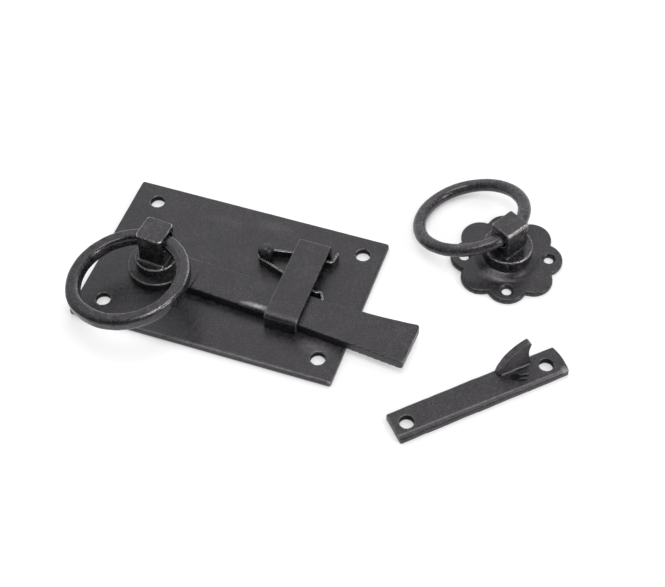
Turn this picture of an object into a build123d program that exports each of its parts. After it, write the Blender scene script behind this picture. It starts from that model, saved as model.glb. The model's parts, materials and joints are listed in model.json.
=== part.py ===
from build123d import *
from math import acos, atan2, cos, degrees, hypot, radians, sin, sqrt
import os

# Cottage latch set, laid flat as it is packed: the latch plate with its sprung bar and ring,
# the outer ring handle on its flower rose, and the keep for the door frame.
# Millimetres. The origin is the middle of the latch plate's back face. +X runs along the
# plate towards the bar's tip, +Y runs across it and +Z stands out from the door.

# Latch plate
plate_length = 114.0
plate_width = 75.4
plate_thickness = 3.0
plate_corner_radius = 1.0
plate_bevel = 0.5
plate_screw_diameter = 6.2
screw_margin_left = 11.0
screw_margin_right = 8.8
screw_margin_front = 9.9
screw_margin_rear = 9.3

# How near an edge or a face lies to the place where it is picked
pick_tolerance = 0.01

# Fits between the turning, riveted and seated pieces
running_clearance = 0.05
seat_clearance = 0.02
peen_clearance = 0.1
ring_clearance = 0.15

# Latch bar: a forged arm that widens to its tip, with a lower round eye at the pivot
pivot_margin_left = 26.5
pivot_offset = -5.8
bar_rest_angle = -3.3
bar_lift = 0.2
bar_reach = 25.5
bar_thickness = 4.5
bar_waist_half_width = 7.3
bar_guide_half_width = 8.3
bar_tip_half_width = 10.1
bar_flare_length = 41.0
bar_tip_radius = 1.2
bar_edge_round = 0.36
eye_radius = 12.4
eye_step = 0.4
eye_length = 18.7
eye_neck_radius = 4.0
hammer_mark_start = 40.5
hammer_mark_length = 13.0
hammer_mark_depth = 0.7

# Inner boss: one turned and filed piece that carries the bar and the inner ring
shank_size = 12.0
journal_diameter = 12.0
peen_diameter = 16.0
peen_height = 1.2
peen_recess = 0.1
spindle_size = 6.4
inner_socket_depth = 12.0
inner_collar_diameter = 17.8
inner_collar_height = 5.0
inner_head_length = 11.4
inner_head_width = 10.6
inner_head_height = 15.6
inner_head_corner = 1.3
inner_head_round = 0.6
collar_round = 0.6
head_foot = 0.5

# Inner ring, forged to a rounded square section; its hinge dips towards the plate's left
inner_ring_radius = 22.6
inner_ring_section = 5.7
inner_ring_corner = 1.8
inner_hinge_height = 22.2
inner_hinge_dip = 8.0

# Bar guide: a strap bent over the bar, its legs riveted through the plate
guide_margin_right = 27.8
guide_width = 14.0
guide_span = 43.5
guide_thickness = 2.0
guide_headroom = 1.1
guide_bend_radius = 2.3
guide_side_gap = 0.15
guide_edge_round = 0.3
tenon_width = 9.0

# Spring of flat strip on edge, bent round a domed pin
pin_to_guide = 18.4
pin_to_leg = 8.7
pin_shank_diameter = 4.2
pin_head_radius = 3.3
pin_head_flat = 1.7
pin_peen_diameter = 6.0
pin_peen_height = 1.0
spring_thickness = 1.0
spring_height = 4.0
spring_head_play = 0.3
spring_bend_radius = 2.85
spring_knee_length = 9.4
spring_knee_rise = 4.6
spring_hook_gap = 1.8
spring_hook_rise = 5.5
spring_hook_lean = 0.6
spring_to_bar_gap = 0.3
spring_curl_length = 4.5
spring_curl_height = 3.8
spring_bend_inside = 0.7

# Flower rose of the outer handle, with a low dome in its middle
rose_x = 105.5
rose_y = 47.3
rose_angle = 15.5
rose_thickness = 2.3
petal_count = 8
petal_radius = 8.35
petal_reach = 23.5
petal_edge_round = 0.6
dome_rise = 2.2
dome_radius = 9.0
rose_screw_count = 4
rose_screw_circle = 35.4
rose_screw_diameter = 4.0
rose_screw_sink_diameter = 5.8
rose_screw_land = 0.3

# Outer boss, the washer under its riveted end, and the outer ring of round wire; the ring's hole
# is drilled a little out of level and out of square
outer_boss_angle = 60.4
outer_lift = 0.2
outer_journal_diameter = 12.0
outer_collar_diameter = 20.8
outer_collar_height = 5.6
outer_head_length = 11.4
outer_head_width = 10.5
outer_head_height = 13.1
outer_head_corner = 0.8
outer_head_round = 0.5
outer_socket_depth = 9.0
washer_diameter = 16.0
washer_thickness = 1.2
washer_gap = 0.2
outer_peen_diameter = 13.4
outer_peen_height = 0.5
outer_ring_radius = 22.65
outer_ring_wire = 5.3
outer_hinge_height = 17.5
outer_hinge_rise = 0.9
outer_hinge_skew = 2.0
outer_ring_droop = 19.2

# Keep: a strip for the door frame with a curved tooth welded along its rear edge
keep_x = 113.52
keep_y = -22.84
keep_angle = 44.45
keep_length = 75.2
keep_width = 13.0
keep_thickness = 3.2
keep_corner_radius = 0.6
keep_end_bow = 0.8
keep_bevel = 0.9
keep_screw_diameter = 5.9
keep_screw_margin_left = 5.8
keep_screw_margin_right = 7.5
tooth_margin_right = 11.8
tooth_length = 15.5
tooth_thickness = 3.0
tooth_height = 13.9
tooth_ramp_bulge = 2.7
tooth_tip_setback = 2.4
tooth_nose_setback = 1.4
tooth_nose_height = 12.5
tooth_back_hollow = 1.3
tooth_edge_round = 0.4
weld_radius = 2.0
weld_setback = 1.2


def section_plane(frame):
    """Plane through a frame's axis: its x is the frame's x, its y is the frame's axis."""
    return Plane(frame.origin, x_dir=frame.x_dir, z_dir=-frame.y_dir)


def turning_axis(frame):
    """Axis that stands on a frame."""
    return Axis(frame.origin, frame.z_dir)


def hinge_bore_plane(hinge_frame):
    """Plane across a hinge, whose axis is the frame's x."""
    return Plane(hinge_frame.origin, x_dir=hinge_frame.y_dir, z_dir=hinge_frame.x_dir)


def ring_sagitta(ring_radius, head_length):
    """How far a ring's middle line bows within the length of a boss's head."""
    return ring_radius - sqrt(ring_radius**2 - (head_length / 2) ** 2)


def ring_hole_radius(ring_radius, half_section, head_length):
    """Radius of a straight hole in which a curved ring turns freely."""
    return half_section + ring_sagitta(ring_radius, head_length) / 2 + ring_clearance


def ring_frame(hinge_frame, ring_radius, head_length, side):
    """Frame in a ring's centre, off the hinge along the frame's y on the side that side gives."""
    reach = ring_radius - ring_sagitta(ring_radius, head_length) / 2
    centre = hinge_frame.from_local_coords((0, side * reach, 0))
    return Plane(centre, x_dir=hinge_frame.x_dir, z_dir=hinge_frame.z_dir)


def tangent_point(centre, radius, target, turn):
    """Point of a circle where a line from target touches it, on the side that turn gives."""
    run = target[0] - centre[0]
    rise = target[1] - centre[1]
    angle = atan2(rise, run) + turn * acos(radius / hypot(run, rise))
    return (centre[0] + radius * cos(angle), centre[1] + radius * sin(angle)), degrees(angle)


# Places on the latch plate
plate_left = -plate_length / 2
plate_right = plate_length / 2
pivot_x = plate_left + pivot_margin_left
latch_frame = Plane(Location((pivot_x, pivot_offset, 0), (0, 0, bar_rest_angle)))
bar_length = plate_length - pivot_margin_left + bar_reach
bar_flare_start = bar_length - bar_flare_length
bar_bottom = plate_thickness + bar_lift
bar_top = bar_bottom + bar_thickness
eye_top = bar_top - eye_step
guide_x = plate_right - guide_margin_right
guide_right = guide_x + guide_width / 2
guide_top = bar_top + guide_headroom + guide_thickness
bar_run_to_guide = (guide_right - pivot_x) / cos(radians(bar_rest_angle))
bar_at_guide = latch_frame.from_local_coords((bar_run_to_guide, -bar_guide_half_width, 0))
guide_front = bar_at_guide.Y - guide_side_gap - guide_thickness
guide_rear = guide_front + guide_span
guide_front_leg = guide_front + guide_thickness / 2
guide_rear_leg = guide_rear - guide_thickness / 2
pin_x = guide_x - pin_to_guide
pin_y = guide_rear - guide_thickness - pin_to_leg

# Latch plate: screw holes, slots for the guide's tenons, and countersunk rivet holes
screw_spacing_x = plate_length - screw_margin_left - screw_margin_right
screw_spacing_y = plate_width - screw_margin_front - screw_margin_rear
screw_centre_x = (screw_margin_left - screw_margin_right) / 2
screw_centre_y = (screw_margin_front - screw_margin_rear) / 2
journal_hole_radius = journal_diameter / 2 + running_clearance
peen_slope = (peen_diameter - journal_diameter) / 2 / peen_height
sink_depth = peen_recess + (peen_diameter / 2 + peen_clearance - journal_hole_radius) / peen_slope
pin_hole_radius = pin_shank_diameter / 2 + seat_clearance
with BuildPart() as latch_plate:
    with BuildSketch():
        RectangleRounded(plate_length, plate_width, plate_corner_radius)
    extrude(amount=plate_thickness)
    chamfer(latch_plate.faces().sort_by(Axis.Z)[-1].edges(), plate_bevel)
    with BuildSketch():
        with Locations((screw_centre_x, screw_centre_y)):
            with GridLocations(screw_spacing_x, screw_spacing_y, 2, 2):
                Circle(plate_screw_diameter / 2)
        with Locations((guide_x, guide_front_leg), (guide_x, guide_rear_leg)):
            Rectangle(tenon_width + 2 * seat_clearance, guide_thickness + 2 * seat_clearance)
        with Locations((pivot_x, pivot_offset)):
            Circle(journal_hole_radius)
        with Locations((pin_x, pin_y)):
            Circle(pin_hole_radius)
    extrude(amount=plate_thickness, mode=Mode.SUBTRACT)
    with Locations((pivot_x, pivot_offset, sink_depth / 2)):
        Cone(
            journal_hole_radius + peen_slope * sink_depth,
            journal_hole_radius,
            sink_depth,
            mode=Mode.SUBTRACT,
        )
    with Locations((pin_x, pin_y, pin_peen_height / 2)):
        Cone(
            pin_peen_diameter / 2 + seat_clearance,
            pin_hole_radius,
            pin_peen_height,
            mode=Mode.SUBTRACT,
        )
latch_plate.part.label = "latch_plate"

# Bar guide: the legs narrow to tenons that pass through the plate and end flush with its back
with BuildPart() as bar_guide:
    with BuildSketch(Plane.YZ.offset(guide_x)):
        with BuildLine():
            FilletPolyline(
                (guide_front_leg, 0),
                (guide_front_leg, guide_top - guide_thickness / 2),
                (guide_rear_leg, guide_top - guide_thickness / 2),
                (guide_rear_leg, 0),
                radius=guide_bend_radius - guide_thickness / 2,
            )
        trace(line_width=guide_thickness)
    extrude(amount=guide_width / 2, both=True)
    bends = bar_guide.faces().filter_by(GeomType.CYLINDER).sort_by(SortBy.RADIUS)[-2:]
    flats = bar_guide.faces().filter_by(GeomType.PLANE)
    outside = bends + [flats.sort_by(Axis.Y)[0], flats.sort_by(Axis.Y)[-1], flats.sort_by(Axis.Z)[-1]]
    rim_reach = guide_width / 2 - pick_tolerance
    rims = [e for f in outside for e in f.edges() if abs(e.center().X - guide_x) > rim_reach]
    fillet(rims, guide_edge_round)
    with BuildSketch():
        with Locations((guide_x, guide_front_leg), (guide_x, guide_rear_leg)):
            Rectangle(2 * guide_width, 2 * guide_thickness)
            Rectangle(tenon_width, 2 * guide_thickness, mode=Mode.SUBTRACT)
    extrude(amount=plate_thickness, mode=Mode.SUBTRACT)
bar_guide.part.label = "bar_guide"

# Spring pin: a domed head over the spring, a shank riveted through the plate
pin_frame = Plane((pin_x, pin_y, 0))
head_flat_z = plate_thickness + spring_height + spring_head_play
head_flat_radius = sqrt(pin_head_radius**2 - pin_head_flat**2)
head_centre_z = head_flat_z + pin_head_flat
with BuildPart() as spring_pin:
    with BuildSketch(section_plane(pin_frame)):
        with BuildLine():
            Polyline(
                (0, head_centre_z + pin_head_radius),
                (0, 0),
                (pin_peen_diameter / 2, 0),
                (pin_shank_diameter / 2, pin_peen_height),
                (pin_shank_diameter / 2, head_flat_z),
                (head_flat_radius, head_flat_z),
            )
            ThreePointArc(
                (head_flat_radius, head_flat_z),
                (pin_head_radius, head_centre_z),
                (0, head_centre_z + pin_head_radius),
            )
        make_face()
    revolve(axis=turning_axis(pin_frame))
spring_pin.part.label = "spring_pin"

# Latch spring: one arm hooks past the guide's rear leg, the other curls onto the bar's edge
hook_x = guide_right + spring_hook_gap + spring_thickness / 2
knee = (pin_x + spring_knee_length, pin_y + spring_knee_rise)
hook_corner = (hook_x, knee[1])
hook_end = (hook_x + spring_hook_lean, knee[1] + spring_hook_rise)
curl_x = guide_right + spring_curl_length
bar_rear_at_curl = latch_frame.from_local_coords(
    ((curl_x - pivot_x) / cos(radians(bar_rest_angle)), bar_waist_half_width, 0)
)
curl_end = (curl_x + spring_thickness / 2, bar_rear_at_curl.Y + spring_to_bar_gap)
curl_crest = (curl_end[0] - spring_curl_height / 2, curl_end[1] + spring_curl_height)
curl_foot = (curl_crest[0] - spring_curl_length / 2, curl_crest[1] - spring_thickness)
pin_point = (pin_x, pin_y)
upper_touch, upper_angle = tangent_point(pin_point, spring_bend_radius, knee, 1)
lower_touch, lower_angle = tangent_point(pin_point, spring_bend_radius, curl_foot, -1)
corner_radius = spring_bend_inside + spring_thickness / 2
with BuildPart() as latch_spring:
    with BuildSketch(Plane.XY.offset(plate_thickness)):
        with BuildLine():
            FilletPolyline(
                hook_end, hook_corner, knee, upper_touch, radius=(corner_radius, spring_bend_radius)
            )
            CenterArc(pin_point, spring_bend_radius, upper_angle, 360 + lower_angle - upper_angle)
            FilletPolyline(lower_touch, curl_foot, curl_crest, curl_end, radius=corner_radius)
        trace(line_width=spring_thickness)
    extrude(amount=spring_height)
latch_spring.part.label = "latch_spring"

# Latch bar: the arm stands a little above the eye, and its front edge is hammered flat in one place
edge_lean = 1 / sqrt(2)
mark_middle = hammer_mark_start + hammer_mark_length / 2
mark_half_width = bar_waist_half_width + (bar_guide_half_width - bar_waist_half_width) * (
    (mark_middle - eye_length) / (bar_run_to_guide - eye_length)
)
mark_radius = (hammer_mark_length**2 / 4 + hammer_mark_depth**2) / (2 * hammer_mark_depth)
mark_reach = (mark_radius - hammer_mark_depth) * edge_lean
mark_centre = latch_frame.from_local_coords(
    (mark_middle, -mark_half_width - mark_reach, bar_top + mark_reach)
)
mark_normal = edge_lean * (latch_frame.y_dir + latch_frame.z_dir)
with BuildPart() as latch_bar:
    with BuildSketch(latch_frame.offset(bar_bottom)):
        with BuildLine():
            rear_side = Line((eye_length, bar_waist_half_width), (bar_flare_start, bar_waist_half_width))
            rear_flare = TangentArc(rear_side @ 1, (bar_length, bar_tip_half_width), tangent=rear_side % 1)
            Line(rear_flare @ 1, (bar_length, -bar_tip_half_width))
            Spline(
                (bar_length, -bar_tip_half_width),
                (bar_run_to_guide, -bar_guide_half_width),
                (eye_length, -bar_waist_half_width),
            )
            Line((eye_length, -bar_waist_half_width), (eye_length, bar_waist_half_width))
        tip = make_face()
        fillet(tip.vertices().sort_by(Axis.X)[-2:], bar_tip_radius)
    extrude(amount=bar_thickness)
    fillet(latch_bar.faces().sort_by(Axis.Z)[-1].edges(), bar_edge_round)
    with BuildSketch(latch_frame.offset(bar_bottom)) as eye_outline:
        Circle(eye_radius)
        with Locations((eye_length / 2, 0)):
            Rectangle(eye_length, 2 * bar_waist_half_width)
        neck_corners = eye_outline.vertices().filter_by(lambda v: 0 < v.X < eye_length - pick_tolerance)
        fillet(neck_corners, eye_neck_radius)
        Rectangle(shank_size + 2 * seat_clearance, shank_size + 2 * seat_clearance, mode=Mode.SUBTRACT)
    extrude(amount=bar_thickness - eye_step)
    with BuildSketch(Plane(mark_centre, x_dir=latch_frame.x_dir, z_dir=mark_normal)):
        Circle(mark_radius)
    extrude(amount=bar_thickness, both=True, mode=Mode.SUBTRACT)
latch_bar.part.label = "latch_bar"

# Inner boss: journal riveted behind the plate, square shank in the bar's eye, collar and head
inner_head_bottom = eye_top + inner_collar_height
inner_axis = turning_axis(latch_frame)
inner_ring_half_diagonal = (inner_ring_section / 2 - inner_ring_corner) * sqrt(2) + inner_ring_corner
inner_ring_hole = ring_hole_radius(inner_ring_radius, inner_ring_half_diagonal, inner_head_length)
inner_hinge_frame = Plane(latch_frame * Location((0, 0, inner_hinge_height), (0, -inner_hinge_dip, 0)))
with BuildPart() as inner_boss:
    with BuildSketch(section_plane(latch_frame)):
        with BuildLine():
            Polyline(
                (0, peen_recess),
                (peen_diameter / 2, peen_recess),
                (journal_diameter / 2, peen_recess + peen_height),
                (journal_diameter / 2, bar_bottom),
                (0, bar_bottom),
                close=True,
            )
        make_face()
    revolve(axis=inner_axis)
    with BuildSketch(latch_frame.offset(bar_bottom)):
        Rectangle(shank_size, shank_size)
    extrude(amount=bar_thickness - eye_step)
    with BuildSketch(latch_frame.offset(eye_top)):
        Circle(inner_collar_diameter / 2)
    extrude(amount=inner_collar_height)
    fillet(inner_boss.faces().sort_by(Axis.Z)[-1].edges(), collar_round)
    with BuildSketch(latch_frame.offset(inner_head_bottom)):
        Rectangle(inner_head_length, inner_head_width)
    extrude(amount=inner_head_height)
    fillet(inner_boss.edges().filter_by(Axis.Z).group_by(Axis.Z)[-1], inner_head_corner)
    fillet(inner_boss.faces().sort_by(Axis.Z)[-1].edges(), inner_head_round)
    with BuildSketch(latch_frame.offset(inner_head_bottom)):
        Rectangle(inner_head_length + 2 * head_foot, inner_head_width + 2 * head_foot)
    extrude(amount=head_foot, taper=45)
    with BuildSketch(hinge_bore_plane(inner_hinge_frame)):
        Circle(inner_ring_hole)
    extrude(amount=inner_head_length, both=True, mode=Mode.SUBTRACT)
    with BuildSketch(latch_frame):
        Rectangle(spindle_size, spindle_size)
    extrude(amount=inner_socket_depth, mode=Mode.SUBTRACT)
inner_boss.part.label = "inner_boss"

# Inner ring: stands straight out from its boss, on the side away from the spring
inner_ring_frame = ring_frame(inner_hinge_frame, inner_ring_radius, inner_head_length, -1)
with BuildPart() as inner_ring:
    with BuildSketch(section_plane(inner_ring_frame)):
        with Locations((inner_ring_radius, 0)):
            RectangleRounded(inner_ring_section, inner_ring_section, inner_ring_corner)
    revolve(axis=turning_axis(inner_ring_frame))
inner_ring.part.label = "inner_ring"

# Rose: pressed from sheet, so the dome is hollow behind, and trimmed to eight petals
rose_frame = Plane(Location((rose_x, rose_y, 0), (0, 0, rose_angle)))
rose_top = rose_thickness + dome_rise
rose_hole_radius = outer_journal_diameter / 2 + running_clearance
petal_centre_radius = petal_reach - petal_radius
dome_foot_radius = (rose_screw_circle - rose_screw_sink_diameter) / 2 - rose_screw_land
with BuildPart() as rose:
    with BuildSketch(section_plane(rose_frame)):
        with BuildLine():
            Line((rose_hole_radius, rose_top), (dome_radius, rose_top))
            Spline((dome_radius, rose_top), (dome_foot_radius, rose_thickness), tangents=((1, 0), (1, 0)))
            Polyline(
                (dome_foot_radius, rose_thickness),
                (petal_reach + petal_radius, rose_thickness),
                (petal_reach + petal_radius, 0),
                (dome_foot_radius, 0),
            )
            Spline((dome_foot_radius, 0), (dome_radius, dome_rise), tangents=((-1, 0), (-1, 0)))
            Polyline((dome_radius, dome_rise), (rose_hole_radius, dome_rise), (rose_hole_radius, rose_top))
        make_face()
    revolve(axis=turning_axis(rose_frame))
    with BuildSketch(rose_frame):
        Circle(petal_centre_radius)
        with PolarLocations(petal_centre_radius, petal_count):
            Circle(petal_radius)
    extrude(amount=rose_top, mode=Mode.INTERSECT)
    petal_face = rose.faces().filter_by(Axis.Z).filter_by_position(
        Axis.Z, rose_thickness - pick_tolerance, rose_thickness + pick_tolerance
    )
    rim = petal_face[0].outer_wire().edges()
    chamfer(rim, petal_edge_round)
    with Locations(rose_frame.offset(rose_thickness)):
        with PolarLocations(rose_screw_circle / 2, rose_screw_count):
            CounterSinkHole(rose_screw_diameter / 2, rose_screw_sink_diameter / 2, rose_top)
rose.part.label = "rose"

# Outer boss: turns in the rose, its end riveted over a washer inside the dome
boss_frame = Plane(Location((rose_x, rose_y, 0), (0, 0, outer_boss_angle)))
outer_collar_bottom = rose_top + outer_lift
outer_head_bottom = outer_collar_bottom + outer_collar_height
washer_top = dome_rise - washer_gap
washer_bottom = washer_top - washer_thickness
outer_hinge_turn = (0, -outer_hinge_rise, outer_hinge_skew)
outer_hinge_frame = Plane(boss_frame * Location((0, 0, outer_hinge_height), outer_hinge_turn))
outer_ring_hole = ring_hole_radius(outer_ring_radius, outer_ring_wire / 2, outer_head_length)
with BuildPart() as outer_boss:
    with BuildSketch(boss_frame.offset(washer_bottom - outer_peen_height)):
        Circle(outer_peen_diameter / 2)
    extrude(amount=outer_peen_height)
    with BuildSketch(boss_frame.offset(washer_bottom)):
        Circle(outer_journal_diameter / 2)
    extrude(amount=outer_collar_bottom - washer_bottom)
    with BuildSketch(boss_frame.offset(outer_collar_bottom)):
        Circle(outer_collar_diameter / 2)
    extrude(amount=outer_collar_height)
    fillet(outer_boss.faces().sort_by(Axis.Z)[-1].edges(), collar_round)
    with BuildSketch(boss_frame.offset(outer_head_bottom)):
        Rectangle(outer_head_length, outer_head_width)
    extrude(amount=outer_head_height)
    fillet(outer_boss.edges().filter_by(Axis.Z).group_by(Axis.Z)[-1], outer_head_corner)
    fillet(outer_boss.faces().sort_by(Axis.Z)[-1].edges(), outer_head_round)
    with BuildSketch(boss_frame.offset(outer_head_bottom)):
        Rectangle(outer_head_length + 2 * head_foot, outer_head_width + 2 * head_foot)
    extrude(amount=head_foot, taper=45)
    with BuildSketch(hinge_bore_plane(outer_hinge_frame)):
        Circle(outer_ring_hole)
    extrude(amount=outer_head_length, both=True, mode=Mode.SUBTRACT)
    with BuildSketch(boss_frame):
        Rectangle(spindle_size, spindle_size)
    extrude(amount=outer_socket_depth, mode=Mode.SUBTRACT)
outer_boss.part.label = "outer_boss"

# Washer under the outer boss's riveted end
with BuildPart() as boss_washer:
    with BuildSketch(boss_frame.offset(washer_bottom)):
        Circle(washer_diameter / 2)
        Circle(outer_journal_diameter / 2 + seat_clearance, mode=Mode.SUBTRACT)
    extrude(amount=washer_thickness)
boss_washer.part.label = "boss_washer"

# Outer ring: droops from its boss until its far side nearly touches the ground
outer_droop_frame = Plane(outer_hinge_frame * Location((0, 0, 0), (-outer_ring_droop, 0, 0)))
outer_ring_frame = ring_frame(outer_droop_frame, outer_ring_radius, outer_head_length, 1)
with BuildPart() as outer_ring:
    with BuildSketch(section_plane(outer_ring_frame)):
        with Locations((outer_ring_radius, 0)):
            Circle(outer_ring_wire / 2)
    revolve(axis=turning_axis(outer_ring_frame))
outer_ring.part.label = "outer_ring"

# Keep strip: its right end is cut a little round and its front edge bevelled
keep_frame = Plane(Location((keep_x, keep_y, 0), (0, 0, keep_angle)))
keep_left = -keep_length / 2
keep_right = keep_length / 2
with BuildPart() as keep_strip:
    with BuildSketch(keep_frame):
        with BuildLine():
            Polyline(
                (keep_right - keep_end_bow, keep_width / 2),
                (keep_left, keep_width / 2),
                (keep_left, -keep_width / 2),
                (keep_right - keep_end_bow, -keep_width / 2),
            )
            ThreePointArc(
                (keep_right - keep_end_bow, -keep_width / 2),
                (keep_right, 0),
                (keep_right - keep_end_bow, keep_width / 2),
            )
        make_face()
    extrude(amount=keep_thickness)
    long_edges = keep_strip.edges().filter_by(Axis(keep_frame.origin, keep_frame.x_dir))
    chamfer(long_edges.group_by(Axis.Z)[-1].sort_by(Axis.Y)[0], keep_bevel)
    fillet(keep_strip.edges().filter_by(Axis.Z), keep_corner_radius)
    with BuildSketch(keep_frame):
        with Locations(
            (keep_left + keep_screw_margin_left, 0), (keep_right - keep_screw_margin_right, 0)
        ):
            Circle(keep_screw_diameter / 2)
    extrude(amount=keep_thickness, mode=Mode.SUBTRACT)
keep_strip.part.label = "keep_strip"

# Keep tooth: the bar rides up the long curved ramp and drops behind the nose
tooth_end = keep_right - tooth_margin_right
tooth_start = tooth_end - tooth_length
tooth_top = keep_thickness + tooth_height
tooth_nose = (tooth_end - tooth_nose_setback, keep_thickness + tooth_nose_height)
tooth_tip = (tooth_end - tooth_tip_setback, tooth_top)
tooth_rear = keep_frame.from_local_coords((0, keep_width / 2, 0))
weld_back = keep_width / 2 - tooth_thickness
weld_end = keep_frame.from_local_coords((tooth_end - weld_setback, 0, 0))
with BuildPart() as keep_tooth:
    with BuildSketch(Plane(tooth_rear, x_dir=keep_frame.x_dir, z_dir=-keep_frame.y_dir)):
        with BuildLine():
            ramp = SagittaArc((tooth_start, keep_thickness), tooth_tip, tooth_ramp_bulge)
            Line(tooth_tip, tooth_nose)
            back = SagittaArc(tooth_nose, (tooth_end, keep_thickness), -tooth_back_hollow)
            Line(back @ 1, ramp @ 0)
        make_face()
    extrude(amount=tooth_thickness)
    ramp_face = keep_tooth.faces().filter_by(GeomType.CYLINDER).sort_by(Axis.X)[0]
    fillet(ramp_face.edges().filter_by(GeomType.CIRCLE), tooth_edge_round)
    with BuildSketch(Plane(weld_end, x_dir=-keep_frame.y_dir, z_dir=-keep_frame.x_dir)):
        with Locations((weld_radius / 2 - weld_back, keep_thickness + weld_radius / 2)):
            Rectangle(weld_radius, weld_radius)
        with Locations((weld_radius - weld_back, keep_thickness + weld_radius)):
            Circle(weld_radius, mode=Mode.SUBTRACT)
    extrude(amount=tooth_length - 2 * weld_setback)
keep_tooth.part.label = "keep_tooth"

os.makedirs("parts", exist_ok=True)
pieces = [
    latch_plate,
    bar_guide,
    spring_pin,
    latch_spring,
    latch_bar,
    inner_boss,
    inner_ring,
    rose,
    outer_boss,
    boss_washer,
    outer_ring,
    keep_strip,
    keep_tooth,
]
for piece in pieces:
    export_step(piece.part, f"parts/{piece.part.label}.step")
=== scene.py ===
import json
import math

import bmesh
import bpy
import numpy as np
from mathutils import Matrix, Vector, noise


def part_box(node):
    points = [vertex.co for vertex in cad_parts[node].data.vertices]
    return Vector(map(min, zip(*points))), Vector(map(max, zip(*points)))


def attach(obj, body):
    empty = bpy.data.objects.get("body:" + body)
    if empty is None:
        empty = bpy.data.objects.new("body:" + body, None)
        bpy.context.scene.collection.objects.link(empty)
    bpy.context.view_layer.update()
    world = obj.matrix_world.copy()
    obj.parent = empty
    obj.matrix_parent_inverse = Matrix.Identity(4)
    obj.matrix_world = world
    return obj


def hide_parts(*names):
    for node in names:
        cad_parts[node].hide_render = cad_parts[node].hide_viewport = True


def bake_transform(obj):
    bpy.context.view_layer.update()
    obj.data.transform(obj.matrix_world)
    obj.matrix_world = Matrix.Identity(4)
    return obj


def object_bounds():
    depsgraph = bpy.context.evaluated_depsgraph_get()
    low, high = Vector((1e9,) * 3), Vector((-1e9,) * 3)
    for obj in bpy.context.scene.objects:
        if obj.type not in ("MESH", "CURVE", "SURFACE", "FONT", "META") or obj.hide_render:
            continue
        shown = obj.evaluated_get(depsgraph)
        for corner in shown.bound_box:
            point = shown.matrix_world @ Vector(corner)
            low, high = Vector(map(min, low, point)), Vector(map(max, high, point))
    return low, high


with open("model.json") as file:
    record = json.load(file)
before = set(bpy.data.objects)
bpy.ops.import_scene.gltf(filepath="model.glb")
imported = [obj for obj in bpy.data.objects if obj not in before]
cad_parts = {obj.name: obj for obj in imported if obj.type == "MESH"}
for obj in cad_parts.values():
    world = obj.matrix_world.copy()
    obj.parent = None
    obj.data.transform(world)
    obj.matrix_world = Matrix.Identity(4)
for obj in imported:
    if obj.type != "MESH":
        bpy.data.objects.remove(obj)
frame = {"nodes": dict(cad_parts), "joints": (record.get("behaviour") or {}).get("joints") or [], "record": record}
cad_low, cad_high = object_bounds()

# A ring latch set laid out flat on white paper: the latch plate with its sprung bar and ring, the
# outer ring handle on its rose, and the keep. Lengths are in millimetres, brought to metres by MM,
# where no comment calls them metres
MM = 0.001
NODES = frame["nodes"]
RECORD = frame["record"]
MOUNTS = {mount["name"]: mount for mount in RECORD["mounts"]}
JOINTS = {joint["name"]: joint for joint in frame["joints"]}
BODY_OF = {node: body for body, nodes in RECORD["behaviour"]["bodies"].items() for node in nodes}


def on_the_ground(place):
    """A place that the frame gives in metres, in millimetres and brought down to the ground."""
    return Vector((place[0], place[1], 0)) / MM


# The marks on a piece are placed from these, with heights from the ground
PLATE_CENTRE = on_the_ground(MOUNTS["plate_back"]["pos_m"])
PIVOT = on_the_ground(JOINTS["latch_turn"]["pos_m"])
ROSE_CENTRE = on_the_ground(JOINTS["outer_boss_turn"]["pos_m"])
KEEP_CENTRE = on_the_ground(MOUNTS["keep_back"]["pos_m"])

# How far the keep lies turned from the X axis
KEEP_ANGLE = math.radians(44.45)


# Camera: the photograph's viewpoint, solved from the plate's corners and holes, angles in degrees
IMAGE_WIDTH = 665
FOCAL_PIXELS = 1452.6
CAMERA_AZIMUTH = 20.618
CAMERA_ELEVATION = 52.136
CAMERA_ROLL = -1.541
CAMERA_DISTANCE = 602.95 * MM
CAMERA_TARGET = Vector((42.08, 7.08, 0.0)) * MM
SENSOR_WIDTH = 36.0
NEAREST_SEEN = 10 * MM
FARTHEST_SEEN = 20000 * MM


def direction_from(azimuth, elevation):
    """Unit vector away from the set, the azimuth in degrees from -Y towards +X."""
    turned, raised = math.radians(azimuth), math.radians(elevation)
    level = math.cos(raised)
    return Vector((math.sin(turned) * level, -math.cos(turned) * level, math.sin(raised)))


def make_camera():
    data = bpy.data.cameras.new("camera")
    data.sensor_width = SENSOR_WIDTH
    data.lens = FOCAL_PIXELS * SENSOR_WIDTH / IMAGE_WIDTH
    data.clip_start = NEAREST_SEEN
    data.clip_end = FARTHEST_SEEN
    camera = bpy.data.objects.new("camera", data)
    bpy.context.scene.collection.objects.link(camera)
    back = direction_from(CAMERA_AZIMUTH, CAMERA_ELEVATION)
    level = direction_from(CAMERA_AZIMUTH + 90, 0)
    upright = back.cross(level)
    roll = math.radians(CAMERA_ROLL)
    right = math.cos(roll) * level + math.sin(roll) * upright
    up = math.cos(roll) * upright - math.sin(roll) * level
    turn = Matrix((right, up, back)).transposed()
    camera.matrix_world = Matrix.Translation(CAMERA_TARGET + back * CAMERA_DISTANCE) @ turn.to_4x4()
    bpy.context.scene.camera = camera


make_camera()


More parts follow.
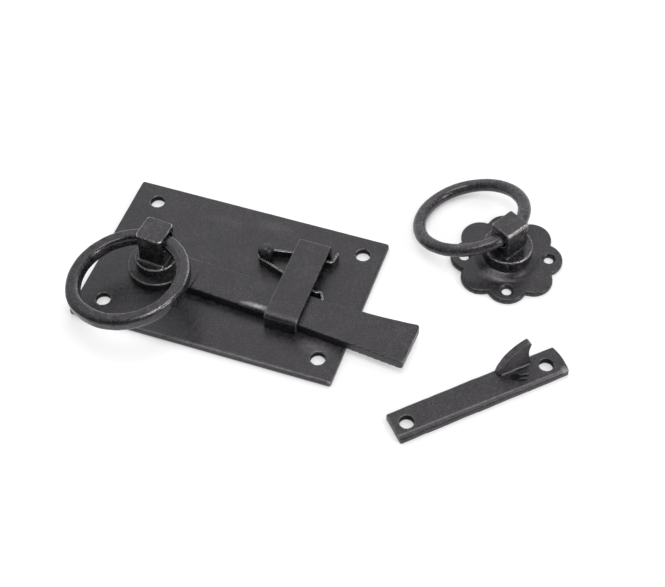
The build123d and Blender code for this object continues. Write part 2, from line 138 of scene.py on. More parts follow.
class Graph:
    """The shader nodes of a world or a material, added one by one."""

    def __init__(self, owner):
        owner.use_nodes = True
        self.tree = owner.node_tree

    def add(self, kind, operation=None, **inputs):
        """Adds a node; each input is given another node's output or a value."""
        node = self.tree.nodes.new(kind)
        if operation:
            node.operation = operation
        for socket, value in inputs.items():
            self.feed(node.inputs[socket.replace("_", " ")], value)
        return node

    def feed(self, socket, value):
        if isinstance(value, bpy.types.NodeSocket):
            self.tree.links.new(value, socket)
        else:
            socket.default_value = value

    def join(self, node, *values):
        """Feeds a node's inputs in their order and gives its output."""
        for socket, value in zip(node.inputs, values):
            self.feed(socket, value)
        return node.outputs[0]

    def combine(self, operation, first, second):
        return self.join(self.add("ShaderNodeMath", operation), first, second)

    def spread(self, value, low, high, to_low=0.0, to_high=1.0):
        """The value's stretch from low to high, laid out from to_low to to_high."""
        node = self.add(
            "ShaderNodeMapRange", Value=value, From_Min=low, From_Max=high, To_Min=to_low, To_Max=to_high
        )
        return node.outputs["Result"]


# Light: a white sweep behind the set, whose sheen the flat tops show, a soft box overhead that
# lights the rounded backs of the rings, a narrow one from the right that draws the bright edges,
# and a room that is dimmer in front. The panels' sizes and distances, and the floor's, are metres
PANELS = {
    "rear_panel": {"azimuth": 200, "elevation": 50, "distance": 1.2, "size": (1.0, 0.8), "radiance": 0.6},
    "top_panel": {"azimuth": 20, "elevation": 84, "distance": 1.0, "size": (0.5, 0.5), "radiance": 5.0},
    "right_panel": {"azimuth": 78, "elevation": 30, "distance": 1.0, "size": (0.25, 0.45), "radiance": 11.0},
}
ROOM_REAR = 0.9
ROOM_FRONT = 0.07
REAR_AZIMUTH = 200
ROOM_BLEND = 0.7
WHITE = (1.0, 1.0, 1.0, 1.0)
FLOOR_HALF = 3.0
FLOOR_THROWN_BACK = (0.4, 0.4, 0.4, 1.0)
FLOOR_LIT_SHARE = (0.51, 0.51, 0.51, 1.0)
FLOOR_GLOW = 0.56
# The painted contact shadow: how far from the pieces it darkens the paper's glow, and how softly
PAINTED_SHADOW_REACH = 3.5 * MM
PAINTED_SHADOW_STRENGTH = 0.5


def make_world():
    """A room that is bright behind the set and dimmer in front, and white to the camera."""
    world = bpy.data.worlds.new("studio")
    bpy.context.scene.world = world
    graph = Graph(world)
    graph.tree.nodes.clear()
    place = graph.add("ShaderNodeTexCoord").outputs["Generated"]
    facing_rear = graph.add("ShaderNodeVectorMath", "DOT_PRODUCT")
    graph.join(facing_rear, place, direction_from(REAR_AZIMUTH, 0))
    level = graph.add(
        "ShaderNodeMapRange",
        Value=facing_rear.outputs["Value"],
        From_Min=-ROOM_BLEND,
        From_Max=ROOM_BLEND,
        To_Min=ROOM_FRONT,
        To_Max=ROOM_REAR,
    )
    level.interpolation_type = "SMOOTHSTEP"
    lit = graph.add("ShaderNodeBackground", Color=WHITE, Strength=level.outputs["Result"])
    seen = graph.add("ShaderNodeBackground", Color=WHITE)
    camera_ray = graph.add("ShaderNodeLightPath").outputs["Is Camera Ray"]
    shown = graph.join(graph.add("ShaderNodeMixShader"), camera_ray, lit.outputs[0], seen.outputs[0])
    graph.add("ShaderNodeOutputWorld", Surface=shown)


def make_panel(name, azimuth, elevation, distance, size, radiance):
    data = bpy.data.lights.new(name, "AREA")
    data.shape = "RECTANGLE"
    data.size, data.size_y = size
    data.energy = radiance * math.pi * size[0] * size[1]
    lamp = bpy.data.objects.new(name, data)
    bpy.context.scene.collection.objects.link(lamp)
    away = direction_from(azimuth, elevation)
    lamp.location = CAMERA_TARGET + away * distance
    lamp.rotation_mode = "QUATERNION"
    lamp.rotation_quaternion = away.to_track_quat("Z", "Y")


def floor_paper():
    """White paper, which glows to the camera and in reflections, apart from its soft shadows, with a
    painted contact shadow that darkens its glow near the pieces, and is greyer in the light that it throws back."""
    material = bpy.data.materials.new("floor_paper")
    graph = Graph(material)
    graph.tree.nodes.clear()
    plain = graph.add("ShaderNodeBsdfDiffuse", Color=FLOOR_THROWN_BACK)
    paper = graph.add("ShaderNodeBsdfDiffuse", Color=FLOOR_LIT_SHARE)
    painted_contact_shadow = graph.add("ShaderNodeAmbientOcclusion", Distance=PAINTED_SHADOW_REACH)
    softened_painted_shadow = graph.add("ShaderNodeGamma", Color=painted_contact_shadow.outputs["Color"], Gamma=PAINTED_SHADOW_STRENGTH)
    glow = graph.add("ShaderNodeEmission", Color=softened_painted_shadow.outputs["Color"], Strength=FLOOR_GLOW)
    white = graph.join(graph.add("ShaderNodeAddShader"), paper.outputs[0], glow.outputs[0])
    ray = graph.add("ShaderNodeLightPath").outputs
    seen = graph.combine("MAXIMUM", ray["Is Camera Ray"], ray["Is Glossy Ray"])
    shown = graph.join(graph.add("ShaderNodeMixShader"), seen, plain.outputs[0], white)
    graph.add("ShaderNodeOutputMaterial", Surface=shown)
    return material


def make_floor():
    mesh = bpy.data.meshes.new("floor")
    corners = [(x * FLOOR_HALF, y * FLOOR_HALF, 0) for x, y in ((-1, -1), (1, -1), (1, 1), (-1, 1))]
    mesh.from_pydata(corners, [], [(0, 1, 2, 3)])
    mesh.materials.append(floor_paper())
    floor = bpy.data.objects.new("floor", mesh)
    bpy.context.scene.collection.objects.link(floor)


make_world()
for panel_name, panel in PANELS.items():
    make_panel(panel_name, **panel)
make_floor()


# Materials: black waxed steel, with mottling, fine specks, edges rubbed bright as wear and as painted
# highlights, paler marks that are partly painted highlights and reflections, and painted shade in hollows
BLACK = (0.0, 0.0, 0.0, 1.0)
BLACKENED = (1.04, 0.97, 1.06, 1.0)
BARE_STEEL = (0.46, 0.45, 0.44, 1.0)
BRASS = (0.42, 0.33, 0.19, 1.0)
SHEEN_TINT = (1.0, 0.96, 1.03, 1.0)
SPECK_SIZE = 0.6
PIT_SIZE = 1.7
WISP_SHARE = 0.7
WISP_STRETCH = (1, 0.45, 1)
MIDDLE_PARTS = 5

# Stretches of a cloud's values, which run from 0 to 1 and lie mostly about the middle
MOST = (0.35, 0.65)
NEARLY_ALL = (0.3, 0.7)
WISPS_ONLY = (0.60, 0.78)
BRIGHT_SPECKS = (0.58, 0.72)
RUBBED_AND_HIGHLIT_PATCHES = (0.35, 0.62)
WORN_AND_GLINT_SPECKS = (0.34, 0.6)

# How the textures are weighed against each other
BROAD_SHARE = 0.45
MIDDLE_SHARE = 0.55
# Painted shade keeps this share of the colour's brightness, and makes the surface this much rougher
PAINTED_SHADE_BRIGHTNESS = 0.15
HOLLOW_ROUGHER = 0.5
PALE_UNEVEN = (0.6, 1.4)
FAINTEST_RUBBED_AND_HIGHLIT = 0.15
BARE_METALLIC = 0.75
GLOSSIER = 0.08
DULLER = 0.10
BROAD_BUMP = 2.5
PIT_BUMP = 0.6
SPECK_BUMP = 0.8


class Finish(Graph):
    """A piece's material, built up from a few kinds of texture."""

    def __init__(self, name):
        self.material = bpy.data.materials.new(name)
        super().__init__(self.material)
        self.shader = self.tree.nodes["Principled BSDF"]
        self.place = self.add("ShaderNodeTexCoord").outputs["Object"]

    def cloud(self, size, detail, roughness, stretch=(1, 1, 1)):
        """Noise with patches of about that size."""
        scaled = self.add("ShaderNodeMapping", Vector=self.place, Scale=stretch)
        node = self.add(
            "ShaderNodeTexNoise",
            Vector=scaled.outputs[0],
            Scale=1 / (size * MM),
            Detail=detail,
            Roughness=roughness,
        )
        return node.outputs["Fac"]

    def colour(self, share, first, second):
        """Mixes two colours by a share from 0 to 1."""
        return self.join(self.add("ShaderNodeMixRGB"), share, first, second)

    def painted(self, name):
        """A piece's own point attribute, 0 where the piece has none."""
        node = self.add("ShaderNodeAttribute")
        node.attribute_name = name
        return node.outputs["Fac"]

    def bumps(self, layers):
        """Stacks (height, depth in millimetres) pairs of bumps."""
        normal = None
        for height, depth in layers:
            node = self.add("ShaderNodeBump", Height=height, Distance=depth * MM)
            if normal:
                self.feed(node.inputs["Normal"], normal)
            normal = node.outputs[0]
        self.feed(self.shader.inputs["Normal"], normal)


def steel_textures(finish, patch):
    """The clouds that the finish is made of, from its broad patches to its fine specks."""
    return {
        "broad": finish.cloud(patch, detail=3, roughness=0.55),
        "wisps": finish.cloud(patch * WISP_SHARE, detail=6, roughness=0.65, stretch=WISP_STRETCH),
        "middle": finish.cloud(patch / MIDDLE_PARTS, detail=4, roughness=0.6),
        "specks": finish.cloud(SPECK_SIZE, detail=2, roughness=0.6),
        "pits": finish.cloud(PIT_SIZE, detail=3, roughness=0.6),
    }


def black_coat(finish, texture, dark, pale, blotch, grain):
    """Colour of the waxed black, mottled and specked, paler at the pale marks, which are partly painted highlights
    and reflections, and darkened by painted shade in hollows.
    """
    broad_tone = finish.spread(texture["broad"], *MOST, 0, BROAD_SHARE)
    middle_tone = finish.spread(texture["middle"], *MOST, 0, MIDDLE_SHARE)
    mottled = finish.spread(finish.combine("ADD", broad_tone, middle_tone), 0, 1, dark, pale)
    pitted = finish.spread(texture["pits"], *MOST, 1 - blotch, 1 + blotch)
    specked = finish.spread(texture["specks"], *NEARLY_ALL, 1 - grain, 1 + grain)
    grained = finish.combine("MULTIPLY", finish.combine("MULTIPLY", mottled, pitted), specked)
    smudged = finish.combine("ADD", grained, finish.spread(texture["wisps"], *WISPS_ONLY, 0, pale))
    bright_specks = finish.spread(texture["specks"], *BRIGHT_SPECKS, 0, pale * grain)
    # The pale marks: paler patches from handling and wear, and painted highlights and reflections on bevels, rims,
    # the dome and the tooth's face
    uneven_marks = finish.spread(texture["pits"], *NEARLY_ALL, *PALE_UNEVEN)
    marks = finish.combine("MULTIPLY", finish.painted("pale"), uneven_marks)
    lit = finish.combine("ADD", finish.combine("ADD", smudged, bright_specks), marks)
    # Painted shade darkens the colour in hollows, on the walls of screw holes, in the keep's pit and along the
    # inner ring
    painted_shade_factor = finish.spread(finish.painted("painted_shade"), 0, 1, 1, PAINTED_SHADE_BRIGHTNESS)
    return finish.colour(finish.combine("MULTIPLY", lit, painted_shade_factor), BLACK, BLACKENED)


def bare_share(finish, texture, edge):
    """Where the black is rubbed or worn through to bare steel, partly as real wear and partly as painted
    highlights and glints on edges.
    """
    patches = finish.spread(texture["middle"], *RUBBED_AND_HIGHLIT_PATCHES, FAINTEST_RUBBED_AND_HIGHLIT * edge, edge)
    rubbed_and_highlit = finish.combine("MULTIPLY", finish.painted("edge"), patches)
    specks = finish.spread(texture["specks"], *WORN_AND_GLINT_SPECKS)
    speckled_wear_and_glint = finish.combine("MULTIPLY", finish.painted("wear_and_glint"), specks)
    return finish.combine("MAXIMUM", rubbed_and_highlit, speckled_wear_and_glint)


def blackened_steel(name, dark, pale, rough, patch, depth, blotch, grain, edge):
    """Dark and pale are the two greys of the mottling, rough the middle roughness, patch the
    mottling's size, depth the depth of its bumps, blotch and grain how strongly the coarse and
    the fine specks show and edge how bright the rubbed edges are, which are partly wear and partly painted
    highlights."""
    finish = Finish(name)
    shader = finish.shader.inputs
    texture = steel_textures(finish, patch)
    bare = bare_share(finish, texture, edge)
    black = black_coat(finish, texture, dark, pale, blotch, grain)
    steel = finish.colour(bare, black, BARE_STEEL)
    finish.feed(shader["Base Color"], finish.colour(finish.painted("brass"), steel, BRASS))
    finish.feed(shader["Metallic"], finish.combine("MULTIPLY", bare, BARE_METALLIC))
    waxed = finish.spread(texture["middle"], *NEARLY_ALL, rough - GLOSSIER, rough + DULLER)
    dull = finish.combine("MULTIPLY", finish.painted("painted_shade"), HOLLOW_ROUGHER)
    finish.feed(shader["Roughness"], finish.combine("ADD", waxed, dull))
    shader["Specular Tint"].default_value = SHEEN_TINT
    finish.bumps([
        (texture["broad"], depth * BROAD_BUMP),
        (texture["middle"], depth),
        (texture["pits"], depth * PIT_BUMP),
        (texture["specks"], depth * SPECK_BUMP * grain),
    ])
    return finish.material


PLATE_FINISH = blackened_steel(
    "plate_finish",
    dark=0.006, pale=0.024, rough=0.35, patch=9, depth=0.05, blotch=0.30, grain=1.0, edge=0.9,
)
FORGED_FINISH = blackened_steel(
    "forged_finish",
    dark=0.006, pale=0.024, rough=0.34, patch=8, depth=0.05, blotch=0.30, grain=1.0, edge=1.0,
)
BOSS_FINISH = blackened_steel(
    "boss_finish",
    dark=0.004, pale=0.032, rough=0.23, patch=5, depth=0.05, blotch=0.6, grain=0.6, edge=1.4,
)
INNER_RING_FINISH = blackened_steel(
    "ring_finish",
    dark=0.008, pale=0.030, rough=0.20, patch=6, depth=0.03, blotch=0.5, grain=0.7, edge=0.8,
)
# The outer ring's black is paler, as a painted reflection of the bright room around it
OUTER_RING_FINISH = blackened_steel(
    "paler_ring_finish",
    dark=0.016, pale=0.056, rough=0.24, patch=6, depth=0.03, blotch=0.4, grain=0.5, edge=0.9,
)
SPRING_FINISH = blackened_steel(
    "spring_finish",
    dark=0.010, pale=0.034, rough=0.28, patch=3, depth=0.03, blotch=0.4, grain=0.8, edge=1.3,
)


# Geometry: a CAD node's mesh, evenly remeshed so that it can be softened and hammered
MERGE_WITHIN = 1e-4
SMOOTHING = 0.5
SEED_STEP = Vector((17.3, 5.1, 9.7))
GRID_NEIGHBOURS = 4

# Curvature in 1/mm at which an edge begins to be rubbed and painted bright, or a hollow to get painted shade, and
# is fully so
EDGE_FROM = 0.7
EDGE_FULL = 1.7

# How soon spots, dents and lines fade out from their middles
SPOT_STEEPNESS = 1.3
DENT_STEEPNESS = 1.4
LINE_STEEPNESS = 2
STRONGEST_MARK = 4


def welded_copy(node):
    """A CAD node's mesh as a closed mesh, in millimetres."""
    mesh = NODES[node].data.copy()
    mesh.transform(Matrix.Scale(1 / MM, 4))
    work = bmesh.new()
    work.from_mesh(mesh)
    bmesh.ops.remove_doubles(work, verts=work.verts, dist=MERGE_WITHIN)
    work.to_mesh(mesh)
    work.free()
    return mesh


def softened(node, grid, steps):
    """The node's mesh on an even grid, its edges softened by a few smoothing steps."""
    carrier = bpy.data.objects.new("carrier", welded_copy(node))
    bpy.context.scene.collection.objects.link(carrier)
    remesh = carrier.modifiers.new("grid", "REMESH")
    remesh.mode = "VOXEL"
    remesh.voxel_size = grid
    remesh.use_smooth_shade = True
    smooth = carrier.modifiers.new("soften", "SMOOTH")
    smooth.factor = SMOOTHING
    smooth.iterations = steps
    graph = bpy.context.evaluated_depsgraph_get()
    mesh = bpy.data.meshes.new_from_object(carrier.evaluated_get(graph))
    bpy.data.objects.remove(carrier)
    return mesh


def positions(mesh):
    flat = np.zeros(len(mesh.vertices) * 3)
    mesh.vertices.foreach_get("co", flat)
    return flat.reshape(-1, 3)


def set_positions(mesh, points):
    mesh.vertices.foreach_set("co", points.ravel())
    mesh.update()


def normals(mesh):
    flat = np.zeros(len(mesh.vertices) * 3)
    mesh.vertex_normals.foreach_get("vector", flat)
    return flat.reshape(-1, 3)


def waves(points, size, seed):
    """Smooth noise between about -1 and 1, with hills of about that size."""
    shift = seed * SEED_STEP
    return np.array([noise.noise(Vector(point) / size + shift) for point in points])


def push(mesh, amounts):
    """Moves each point along its normal by that many millimetres."""
    set_positions(mesh, positions(mesh) + normals(mesh) * amounts[:, None])


def keep_in_box(mesh):
    """Keeps the points inside the CAD part's box."""
    set_positions(mesh, np.clip(positions(mesh), np.array(cad_low) / MM, np.array(cad_high) / MM))


def ease(share):
    """A share from 0 to 1 with a soft start and end."""
    return share * share * (3 - 2 * share)


def fade(away, steepness):
    """1 about a mark's middle and 0 from its reach on, where away is 1."""
    return np.clip(steepness * (1 - away), 0, 1)


def in_plan(points, angle):
    """How far points lie along and across a direction on the ground."""
    along = points[:, 0] * math.cos(angle) + points[:, 1] * math.sin(angle)
    across = points[:, 1] * math.cos(angle) - points[:, 0] * math.sin(angle)
    return along, across


def bulge_per_mm(mesh, grid):
    """Curvature at each point, in 1/mm: above 0 on edges and below 0 in hollows."""
    points = positions(mesh)
    ends = np.zeros(len(mesh.edges) * 2, dtype=np.int64)
    mesh.edges.foreach_get("vertices", ends)
    ends = ends.reshape(-1, 2)
    total = np.zeros_like(points)
    count = np.zeros(len(points))
    for here, there in ((0, 1), (1, 0)):
        np.add.at(total, ends[:, here], points[ends[:, there]])
        np.add.at(count, ends[:, here], 1)
    around = total / count[:, None]
    return ((points - around) * normals(mesh)).sum(axis=1) * GRID_NEIGHBOURS / grid**2


# Painting: the point attributes that the materials read: rubbed edges and wear, which are partly painted
# highlights and glints, paler marks, which are partly painted highlights and reflections, brass, and
# painted shade in hollows
def painted_values(mesh, name):
    values = np.zeros(len(mesh.vertices), dtype=np.float32)
    if name in mesh.attributes:
        mesh.attributes[name].data.foreach_get("value", values)
    return values


def paint(mesh, name, values):
    attribute = mesh.attributes.get(name) or mesh.attributes.new(name, "FLOAT", "POINT")
    attribute.data.foreach_set("value", np.clip(values, 0, STRONGEST_MARK).astype(np.float32))


def paint_edges(mesh, grid, share):
    """Marks the sharp edges, where the black is rubbed through and painted bright as highlights, and paints shade
    into the hollows.
    """
    bulge = bulge_per_mm(mesh, grid)
    paint(mesh, "edge", share * np.clip((bulge - EDGE_FROM) / (EDGE_FULL - EDGE_FROM), 0, 1))
    shade_in_hollows = np.clip((-bulge - EDGE_FROM) / (EDGE_FULL - EDGE_FROM), 0, 1)
    paint(mesh, "painted_shade", np.maximum(shade_in_hollows, painted_values(mesh, "painted_shade")))


def paint_mark(mesh, origin, on, place, reach, amount, to=None):
    """A soft spot, or a line where to is given. It strengthens the rubbed and painted-bright edges there, or takes
    them away with an amount below 0, and adds to the other marks, among them painted highlights and painted shade."""
    points = positions(mesh) - np.array(origin) - np.array(place)
    if to:
        line = np.array(to) - np.array(place)
        share = np.clip(points @ line / (line @ line), 0, 1)
        points = points - np.outer(share, line)
    spot = amount * fade(np.linalg.norm(points / np.array(reach), axis=1), SPOT_STEEPNESS)
    values = painted_values(mesh, on)
    paint(mesh, on, values * (1 + spot) if on == "edge" else values + spot)


def ring_directions(mesh):
    """The ring's outward direction at each point and the direction across it."""
    points = positions(mesh)
    spokes = points - points.mean(axis=0)
    across = np.linalg.svd(np.cov(spokes.T))[0][:, 2]
    across = across * np.sign(across[2])
    level = spokes - np.outer(spokes @ across, across)
    return level / np.linalg.norm(level, axis=1)[:, None], across


def paint_ring_line(mesh, on, start, end, lean, spread, amount):
    """Paints a line round the ring, such as a painted highlight, reflection or shade line."""
    outward, across = ring_directions(mesh)
    facing = normals(mesh)
    leaning = np.degrees(np.arctan2(facing @ across, (facing * outward).sum(axis=1)))
    angle = np.degrees(np.arctan2(outward[:, 1], outward[:, 0]))
    turn = np.abs((angle - (start + end) / 2 + 180) % 360 - 180)
    along = fade(turn / ((end - start) / 2), LINE_STEEPNESS)
    strip = amount * along * np.exp(-(((leaning - lean) / spread) ** 2))
    paint(mesh, on, painted_values(mesh, on) + strip)


# Screw holes: a grid leaves their walls lumpy, so they are set back on their circles. A wall is
# what stands upright this near to the circle
HOLE_WALL_REACH = 0.8
UPRIGHT_BELOW = 0.5


def plate_hole_centres():
    spacing = MOUNTS["plate_screws"]["dims"]
    middle = on_the_ground(MOUNTS["plate_screws"]["pos_m"])
    half = Vector((spacing["spacing_x_mm"], spacing["spacing_y_mm"], 0)) / 2
    return [middle + Vector((x * half.x, y * half.y, 0)) for x in (-1, 1) for y in (-1, 1)]


def keep_hole_centres():
    middle = on_the_ground(MOUNTS["keep_screws"]["pos_m"])
    reach = MOUNTS["keep_screws"]["dims"]["pcd_mm"] / 2
    along = Vector((math.cos(KEEP_ANGLE), math.sin(KEEP_ANGLE), 0)) * reach
    return [middle - along, middle + along]


def round_holes(mesh, mount, centres):
    """Sets the walls of a mount's screw holes on their circles and paints shade on them."""
    radius = MOUNTS[mount]["dims"]["hole_r_mm"]
    points = positions(mesh)
    upright = np.abs(normals(mesh)[:, 2]) < UPRIGHT_BELOW
    painted_shade = painted_values(mesh, "painted_shade")
    for centre in centres:
        away = points[:, :2] - np.array(centre[:2])
        distance = np.linalg.norm(away, axis=1)
        wall = upright & (distance < radius + HOLE_WALL_REACH)
        points[wall, :2] = np.array(centre[:2]) + away[wall] * (radius / distance[wall])[:, None]
        painted_shade[wall] = 1
    set_positions(mesh, points)
    paint(mesh, "painted_shade", painted_shade)


def place_piece(mesh, name, node, finish):
    """Turns a millimetre mesh into the piece that stands for a node."""
    mesh.transform(Matrix.Scale(MM, 4))
    mesh.materials.clear()
    mesh.materials.append(finish)
    mesh.polygons.foreach_set("use_smooth", [True] * len(mesh.polygons))
    mesh.name = name
    piece = bpy.data.objects.new(name, mesh)
    bpy.context.scene.collection.objects.link(piece)
    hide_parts(node)
    return piece


def forge(
    node, finish, grid, steps, wave_size, wave_depth, rubbed_and_highlit, seed,
    shape=None, origin=None, marks=None, lines=None,
):
    """Stands a softened, slightly uneven piece in for a node, riding on the node's body. Grid and
    steps say how finely and how far it is softened, and the waves how uneven it is. The rubbing says how
    far its edges are rubbed bright, as wear and as painted highlights, and shape is a function that changes
    its form. Marks are placed from origin, and lines run round a ring."""
    mesh = softened(node, grid, steps)
    push(mesh, wave_depth * waves(positions(mesh), wave_size, seed))
    if shape:
        shape(mesh)
    keep_in_box(mesh)
    paint_edges(mesh, grid, rubbed_and_highlit)
    for mark in (marks or {}).values():
        paint_mark(mesh, origin, **mark)
    for line in (lines or {}).values():
        paint_ring_line(mesh, **line)
    piece = place_piece(mesh, node + "_forged", node, finish)
    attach(piece, BODY_OF[node])


# Latch plate: faint smudges from handling, a painted highlight along the bevel of its front edge, and painted
# shade on its hole walls
PLATE_MARKS = {
    "smudge_left": {"on": "pale", "place": (-15, 28, 3), "reach": (11, 3.5, 1), "amount": 0.014},
    "smudge_rear": {"on": "pale", "place": (7, 31, 3), "reach": (11, 4, 1), "amount": 0.018},
    "smudge_front_right": {"on": "pale", "place": (46, -23, 3), "reach": (9, 5, 1), "amount": 0.045},
    "front_bevel_highlight": {"on": "pale", "place": (12, -37.3, 2.9), "reach": (70, 0.9, 1.2), "amount": 0.12},
}


def drill_plate(mesh):
    round_holes(mesh, "plate_screws", plate_hole_centres())


forge(
    "latch_plate", PLATE_FINISH, grid=0.46, steps=2, wave_size=14, wave_depth=0.05, rubbed_and_highlit=1.2, seed=11,
    shape=drill_plate, origin=PLATE_CENTRE, marks=PLATE_MARKS,
)


# Guide: a painted highlight along its front bend, ending in a painted glint on its corner
GUIDE_MARKS = {
    "bend": {
        "on": "pale", "place": (22.0, -18.0, 9.9), "to": (36.5, -18.0, 9.9), "reach": (1.3, 1.8, 1.3),
        "amount": 0.07,
    },
    "bend_corner_glint": {"on": "wear_and_glint", "place": (36.8, -17.6, 10.6), "reach": (0.9, 1.3, 0.9), "amount": 1.2},
}
forge(
    "bar_guide", PLATE_FINISH, grid=0.28, steps=3, wave_size=6, wave_depth=0.05, rubbed_and_highlit=0.5, seed=7,
    origin=PLATE_CENTRE, marks=GUIDE_MARKS,
)


# Pin of the spring
forge("spring_pin", FORGED_FINISH, grid=0.16, steps=3, wave_size=3, wave_depth=0.05, rubbed_and_highlit=1.0, seed=8)


# Spring: a softened piece with its edges marked, set in the world where the CAD places it
SPRING_GRID = 0.16
SPRING_STEPS = 2
SPRING_RUBBED_AND_HIGHLIT = 1.0


def make_spring():
    mesh = softened("latch_spring", SPRING_GRID, SPRING_STEPS)
    paint_edges(mesh, SPRING_GRID, SPRING_RUBBED_AND_HIGHLIT)
    spring = place_piece(mesh, "latch_spring_bent", "latch_spring", SPRING_FINISH)
    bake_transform(spring)


make_spring()


# Latch bar: its front edge is rubbed pale beside the guide, and its eye shows a speck of brass
BAR_MARKS = {
    "rubbed_by_guide": {"on": "wear_and_glint", "place": (47.5, -8.5, 6.7), "reach": (10, 1.6, 1.8), "amount": 1.6},
    "greyed_by_guide": {"on": "pale", "place": (48.0, -8.6, 6.4), "reach": (10, 1.8, 2.2), "amount": 0.16},
    "brass_on_eye": {"on": "brass", "place": (-8.1, -10.8, 6.8), "reach": (1.6, 2.0, 1.8), "amount": 1.0},
}
forge(
    "latch_bar", FORGED_FINISH, grid=0.32, steps=3, wave_size=7, wave_depth=0.07, rubbed_and_highlit=0.45, seed=1,
    origin=PIVOT, marks=BAR_MARKS,
)


# Inner boss: its head was filed by eye, so it isn't quite square over its collar. From its foot
# upwards it is soon shifted as a whole, and its sides, at half its length and half its width from
# the middle, are moved further out by longer and wider, and along themselves by the skews
HEAD_FOOT = 12.9
HEAD_LEAN_OVER = 4.0
HEAD_HALF_LENGTH = 5.7
HEAD_HALF_WIDTH = 5.3
HEAD_SHIFT_X = 0.7
HEAD_SHIFT_Y = 0.4
HEAD_LONGER = 0.14
HEAD_WIDER = 0.45
HEAD_SKEW_X = 0.26
HEAD_SKEW_Y = -0.12
# Painted highlights along the head's top edges, its chamfer and its foot, and brass beside the ring's hole
INNER_BOSS_MARKS = {
    "head_top_highlights": {"on": "edge", "place": (-0.5, 0.8, 28.3), "reach": (11, 11, 2.5), "amount": 2.6},
    "head_chamfer_highlight": {
        "on": "pale", "place": (-6.7, -5.0, 13.0), "to": (5.1, -6.0, 13.0), "reach": (0.6, 0.6, 0.6),
        "amount": 0.22,
    },
    "head_foot_highlight": {"on": "edge", "place": (0, -3.2, 12.7), "reach": (13, 13, 2), "amount": 1.5},
    "brass_by_hole": {"on": "brass", "place": (6.3, -0.8, 24.8), "reach": (1.6, 2.6, 2.0), "amount": 1.5},
}


def lean_head(mesh):
    """Sets the head a little out of square over its collar."""
    points = positions(mesh)
    share = ease(np.clip((points[:, 2] - HEAD_FOOT) / HEAD_LEAN_OVER, 0, 1))
    along = (points[:, 0] - PIVOT.x) / HEAD_HALF_LENGTH
    across = (points[:, 1] - PIVOT.y) / HEAD_HALF_WIDTH
    points[:, 0] += share * (HEAD_SHIFT_X + HEAD_LONGER * along + HEAD_SKEW_X * across)
    points[:, 1] += share * (HEAD_SHIFT_Y + HEAD_SKEW_Y * along + HEAD_WIDER * across)
    set_positions(mesh, points)


forge(
    "inner_boss", BOSS_FINISH, grid=0.24, steps=4, wave_size=4, wave_depth=0.09, rubbed_and_highlit=1.0, seed=2,
    shape=lean_head, origin=PIVOT, marks=INNER_BOSS_MARKS,
)


# Inner ring: bent a little out of round at its front left, and painted in lines round it: highlights on its
# right and front rims, a painted reflection on its front side and a painted shade line beside it. A line
# runs round the ring from start to end, in degrees, and leans that far from straight outwards
RING_BULGE = 0.4
RING_BULGE_AT = math.radians(225)
RING_BULGE_HALF = math.radians(28)
RING_LINES = {
    "right_rim_highlight": {"on": "wear_and_glint", "start": -12, "end": 66, "lean": 40, "spread": 10, "amount": 0.9},
    "right_streak_highlight": {"on": "wear_and_glint", "start": -55, "end": -5, "lean": 55, "spread": 12, "amount": 0.8},
    "front_rim_highlight": {"on": "pale", "start": 190, "end": 335, "lean": 128, "spread": 9, "amount": 0.20},
    "front_side_reflection": {"on": "pale", "start": 205, "end": 330, "lean": -12, "spread": 16, "amount": 0.11},
    # A painted shade line along the front of the ring
    "front_groove": {"on": "painted_shade", "start": 200, "end": 330, "lean": 32, "spread": 14, "amount": 1.0},
}
RING_MARKS = {
    "brass_by_head": {"on": "brass", "place": (7.9, -1.0, 24.6), "reach": (2.2, 1.6, 1.6), "amount": 1.0},
}


def bend_out(mesh):
    """Bends the hand-forged inner ring a little out of round."""
    outward = ring_directions(mesh)[0]
    angle = np.arctan2(outward[:, 1], outward[:, 0]) - RING_BULGE_AT
    turn = np.abs((angle + math.pi) % (2 * math.pi) - math.pi)
    share = ease(np.clip(1 - turn / RING_BULGE_HALF, 0, 1))
    set_positions(mesh, positions(mesh) + outward * (RING_BULGE * share)[:, None])


forge(
    "inner_ring", INNER_RING_FINISH, grid=0.30, steps=3, wave_size=3.5, wave_depth=0.10, rubbed_and_highlit=1.0, seed=9,
    shape=bend_out, origin=PIVOT, marks=RING_MARKS, lines=RING_LINES,
)


# Rose: a painted highlight on the front of its dome
ROSE_MARKS = {
    "dome_highlight": {"on": "pale", "place": (-3.0, -12.1, 4.0), "reach": (8, 4.0, 3.0), "amount": 0.14},
}
forge(
    "rose", PLATE_FINISH, grid=0.30, steps=3, wave_size=8, wave_depth=0.08, rubbed_and_highlit=0.6, seed=4,
    origin=ROSE_CENTRE, marks=ROSE_MARKS,
)


# Outer boss: painted highlights along the head's front right edge and on its collar's rim, and a painted glint on
# the collar's front
OUTER_BOSS_MARKS = {
    "head_front_right_highlight": {
        "on": "wear_and_glint", "place": (1.0, -7.3, 23.3), "to": (6.6, 1.7, 23.3), "reach": (0.9, 0.9, 0.9),
        "amount": 1.5,
    },
    "collar_right_highlight": {"on": "edge", "place": (8.0, -4.3, 10.3), "reach": (6, 6, 2), "amount": 2.5},
    "collar_glint": {"on": "edge", "place": (-3.8, -11.2, 10.3), "reach": (2, 2, 1.5), "amount": 3.0},
}
forge(
    "outer_boss", BOSS_FINISH, grid=0.24, steps=2, wave_size=4, wave_depth=0.09, rubbed_and_highlit=0.55, seed=3,
    origin=ROSE_CENTRE, marks=OUTER_BOSS_MARKS,
)


# Washer under the rose: it keeps its own mesh
def finish_washer():
    washer = NODES["boss_washer"].data
    washer.materials.clear()
    washer.materials.append(PLATE_FINISH)


finish_washer()


# Outer ring: a little thicker towards its middle than the CAD's round wire
OUTER_RING_THICKER = 0.25


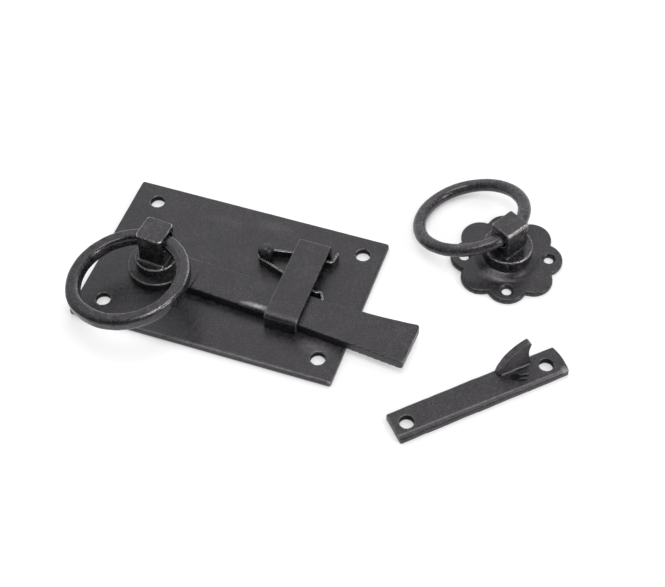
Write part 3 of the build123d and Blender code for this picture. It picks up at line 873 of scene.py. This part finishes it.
def thicken_inwards(mesh):
    """Adds to the side of the ring that faces its middle."""
    outward = ring_directions(mesh)[0]
    push(mesh, OUTER_RING_THICKER * np.clip(-(normals(mesh) * outward).sum(axis=1), 0, 1))


forge(
    "outer_ring", OUTER_RING_FINISH, grid=0.30, steps=3, wave_size=3.5, wave_depth=0.08, rubbed_and_highlit=1.0, seed=10,
    shape=thicken_inwards,
)


# Keep: the strip has a bevelled front edge with a painted highlight along it, and a pit and two grooves left
# by welding the tooth, with painted shade in them and on its hole walls
KEEP_MARKS = {
    "right_end": {"on": "wear_and_glint", "place": (29.28, 20.84, 3.0), "reach": (2.5, 2.5, 1.5), "amount": 0.6},
    "front_bevel_highlight": {
        "on": "pale", "place": (-23.42, -29.26, 3.0), "to": (30.18, 22.24, 3.0),
        "reach": (0.6, 0.6, 0.8), "amount": 0.10,
    },
    "pit_rims": {"on": "edge", "place": (11.18, 11.44, 3.2), "reach": (9, 9, 5), "amount": -1.0},
    "pit_painted_shade": {"on": "painted_shade", "place": (11.18, 11.44, 2.6), "reach": (3.4, 2.8, 3), "amount": 1.0},
}
WELD_PITS = {
    "pit": {"place": (11.18, 11.44, 3.2), "reach": (2.2, 1.7, 1.5), "depth": 1.4},
    "rear_groove": {"place": (14.38, 13.04, 3.2), "reach": (2.6, 0.7, 1.5), "depth": 0.6},
    "front_groove": {"place": (14.38, 10.94, 3.2), "reach": (2.3, 0.7, 1.5), "depth": 0.6},
}
PIT_ANGLE = math.radians(30)
PIT_PAINTED_SHADE = 3


def pit_depths(points):
    """How deep the pit and the grooves lie at each point."""
    depth = np.zeros(len(points))
    for pit in WELD_PITS.values():
        away = points - np.array(KEEP_CENTRE) - np.array(pit["place"])
        turned = np.column_stack((*in_plan(away, PIT_ANGLE), away[:, 2]))
        depth += pit["depth"] * fade(np.linalg.norm(turned / np.array(pit["reach"]), axis=1), DENT_STEEPNESS)
    return depth


def dent_and_drill_keep(mesh):
    points = positions(mesh)
    depth = pit_depths(points)
    points[:, 2] -= depth
    set_positions(mesh, points)
    # Painted shade in the pit and the grooves, darker where they are deeper
    paint(mesh, "painted_shade", depth * PIT_PAINTED_SHADE)
    round_holes(mesh, "keep_screws", keep_hole_centres())


forge(
    "keep_strip", PLATE_FINISH, grid=0.30, steps=3, wave_size=6, wave_depth=0.10, rubbed_and_highlit=0.45, seed=5,
    shape=dent_and_drill_keep, origin=KEEP_CENTRE, marks=KEEP_MARKS,
)


# Tooth of the keep: the weld at its foot is filed down, and its face is made paler as a painted reflection
WELD_TOP = 7.0
WELD_FILED = 0.55
TOOTH_MARKS = {
    "face": {"on": "pale", "place": (8.48, 13.84, 9.0), "reach": (14, 14, 12), "amount": 0.07},
}


def thin_weld(mesh):
    """Files the weld at the foot of the tooth's front face down to a thin bead."""
    keep_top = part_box("keep_strip")[1].z / MM
    points = positions(mesh)
    across = in_plan(points, KEEP_ANGLE)[1]
    face = across[points[:, 2] > WELD_TOP].min()
    bead = across < face
    shift = (face - across[bead]) * WELD_FILED
    points[bead, 0] -= shift * math.sin(KEEP_ANGLE)
    points[bead, 1] += shift * math.cos(KEEP_ANGLE)
    points[bead, 2] = keep_top + (points[bead, 2] - keep_top) * (1 - WELD_FILED)
    set_positions(mesh, points)


forge(
    "keep_tooth", FORGED_FINISH, grid=0.20, steps=5, wave_size=4, wave_depth=0.10, rubbed_and_highlit=0.25, seed=6,
    shape=thin_weld, origin=KEEP_CENTRE, marks=TOOTH_MARKS,
)


bpy.context.scene.view_settings.view_transform = "Standard"
